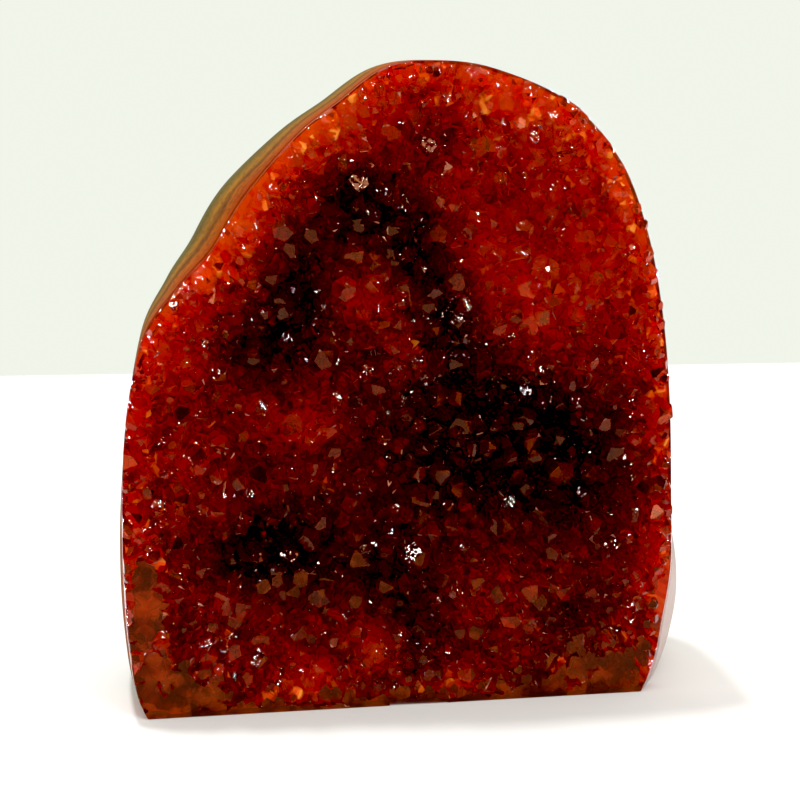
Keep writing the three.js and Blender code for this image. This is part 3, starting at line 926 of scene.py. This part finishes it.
def dress(piece, *materials):
    piece.data.materials.clear()
    for material in materials:
        piece.data.materials.append(material)


dress(wall, chalcedony(), dish_lining())
dress(crust, citrine(), cut_citrine(), worn_and_lit_edge())
dress(cores, cloudy_root())
for polygon in wall.data.polygons:
    if inside_dish(polygon):
        polygon.material_index = LINING
mark(wall)
wall.data.shade_smooth()
random = np.random.default_rng(SEED)
paint_facets(crust, CRUST_TINTS, random)
paint_facets(cores, CORE_TINTS, random)
narrow = round_edges(crust)
# A share of the narrow edges gets the bruised edge paint, partly a painted highlight.
worn_and_painted_light = narrow & (random.uniform(0, 1, len(narrow)) < EDGE_SHARE)
for i, polygon in enumerate(crust.data.polygons):
    if on_ground_face(polygon):
        polygon.material_index = CUT
    elif worn_and_painted_light[i]:
        polygon.material_index = WORN_AND_LIT

# Stage, lights and camera.
FLOOR_LOW, FLOOR_HIGH = (-1.5, -0.45, -0.01), (1.5, 0.6, 0)
floor = block("floor", FLOOR_LOW, FLOOR_HIGH)
paper = Nodes("paper")
paper.set(Base_Color=(0.82, 0.83, 0.82, 1), Roughness=0.6, Specular_IOR_Level=0)
floor.data.materials.append(paper.material)

SKY_FRONT, SKY_BEHIND, SKY_ABOVE = (0.6, 0.55, 0.5), (0.79, 0.82, 0.74), 0.6
SKY_RISE = (0.3, 0.9)
ROOM_PATCHES = 1.7
ROOM_DARK, ROOM_LIGHT = (0.02, 0.014, 0.012), (0.33, 0.22, 0.17)
# Lamps: cells to a unit of direction, with one lamp in each, their radius in that unit and their strength.
GLINT_CELLS, GLINT_RADIUS, GLINT_RADIANCE = 13.0, 0.0105, 190.0
GLINT_COLOUR = (0.6, 1.1, 1.8, 1)


def make_world():
    """A pale backdrop and soft sky, with a dim room and small bright lamps for the crystals to mirror."""
    world = bpy.data.worlds.new("studio")
    n = Tree(world)
    direction = n.add("TexCoord").outputs["Generated"]
    split = n.add("SeparateXYZ")
    n.link(direction, split.inputs[0])
    across = n.ramp(split.outputs["Y"], (0.45, SKY_FRONT), (0.8, SKY_BEHIND))
    above = n.add("MapRange")
    above.inputs["From Min"].default_value, above.inputs["From Max"].default_value = SKY_RISE
    above.inputs["To Max"].default_value = SKY_ABOVE
    n.link(split.outputs["Z"], above.inputs["Value"])
    sky = n.mix(1.0, across, above.outputs[0], "ADD")

    patches = n.add("TexNoise")
    patches.inputs["Scale"].default_value = ROOM_PATCHES
    patches.inputs["Detail"].default_value = 1
    n.link(direction, patches.inputs["Vector"])
    room = n.ramp(patches.outputs["Fac"], (0.45, ROOM_DARK), (0.65, ROOM_LIGHT))
    spots = n.add("TexVoronoi")
    spots.inputs["Scale"].default_value = GLINT_CELLS
    n.link(direction, spots.inputs["Vector"])
    spot = n.math("LESS_THAN", spots.outputs["Distance"], GLINT_RADIUS * GLINT_CELLS)
    glints = n.mix(1.0, n.math("MULTIPLY", spot, GLINT_RADIANCE), GLINT_COLOUR, "MULTIPLY")
    mirrored = n.mix(1.0, room, glints, "ADD")

    path = n.add("LightPath")
    mirror = n.math("MULTIPLY", path.outputs["Is Singular Ray"], path.outputs["Is Reflection Ray"])
    n.link(n.mix(mirror, sky, mirrored), n.tree.nodes["Background"].inputs["Color"])
    return world


bpy.context.scene.world = make_world()


LAMP_AIM = Vector((0, 0, 0.06))


def lamp(name, towards, distance, size, radiance):
    """A round lamp that shines on the stone from that direction (x, y, z)."""
    data = bpy.data.lights.new(name, "AREA")
    data.shape = "DISK"
    data.size = size
    data.energy = radiance * math.pi * math.pi * (size / 2) ** 2  # pi times the disc's area
    made = bpy.data.objects.new(name, data)
    bpy.context.scene.collection.objects.link(made)
    made.location = LAMP_AIM + Vector(towards).normalized() * distance
    made.rotation_euler = (LAMP_AIM - made.location).to_track_quat("-Z", "Y").to_euler()
    made.visible_camera = False
    return made


lamp("key", (-0.14, 0.18, 1.0), distance=1.1, size=0.08, radiance=390)
lamp("fill", (0.5, -0.8, 0.9), distance=1.2, size=0.4, radiance=6)

CAMERA_AT = np.array([-40.08, -252.13, 96.55])  # from the middle of the face's foot, in millimetres
CAMERA_FORWARD = (0.15383, 0.97944, -0.13053)
camera_data = bpy.data.cameras.new("camera")
camera_data.sensor_width = 36
camera_data.lens = 58.5
camera = bpy.data.objects.new("camera", camera_data)
bpy.context.scene.collection.objects.link(camera)
camera.location = Vector((CAMERA_AT + (*FACE_FOOT, 0)) * MM)
camera.rotation_euler = Vector(CAMERA_FORWARD).to_track_quat("-Z", "Y").to_euler()
bpy.context.scene.camera = camera
bpy.context.scene.cycles.sample_clamp_indirect = 0  # keeps the glints bright
view = bpy.context.scene.view_settings
view.view_transform = "Standard"
view.use_curve_mapping = True
view.curve_mapping.black_level = (0.008, 0.008, 0.008)
view.curve_mapping.white_level = (0.9, 0.9, 0.9)
